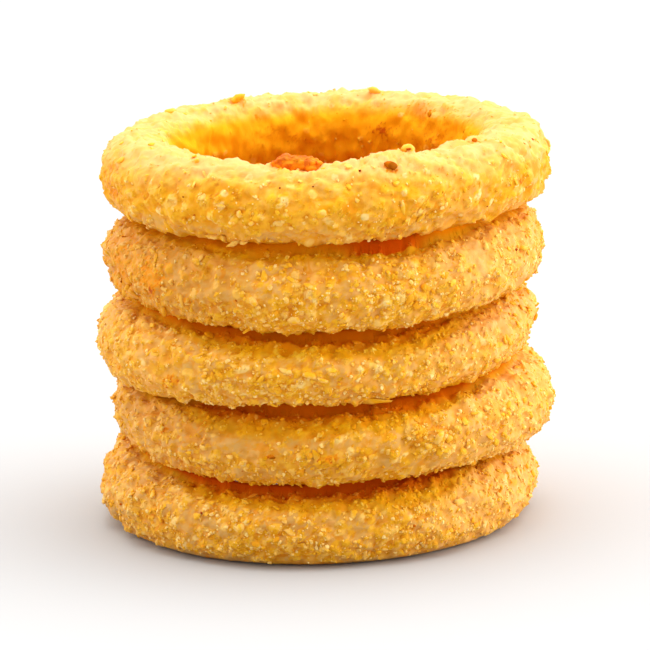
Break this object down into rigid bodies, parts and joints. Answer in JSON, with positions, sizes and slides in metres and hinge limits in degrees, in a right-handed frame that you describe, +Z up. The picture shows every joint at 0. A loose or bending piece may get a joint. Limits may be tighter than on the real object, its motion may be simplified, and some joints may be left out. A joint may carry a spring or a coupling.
{
  "type": "onion rings side",
  "caption": "Stack of breaded and fried onion rings, laid flat one on another with an open well down the middle.",
  "frame": {"origin": "centre of the stack's box at the table, under the open well", "axes": "+Z up through the rings' holes, -Y towards the viewer of the stack's front, +X to that viewer's right"},
  "size_m": [0.0862, 0.084, 0.0757],
  "materials": {
    "breaded_crust": "golden fried breadcrumb, slightly oily"
  },
  "bodies": {
    "root": {"ring_1_bottom": "breaded_crust", "ring_2": "breaded_crust", "ring_3": "breaded_crust", "ring_4": "breaded_crust", "ring_5_top": "breaded_crust"}
  },
  "joints": []
}
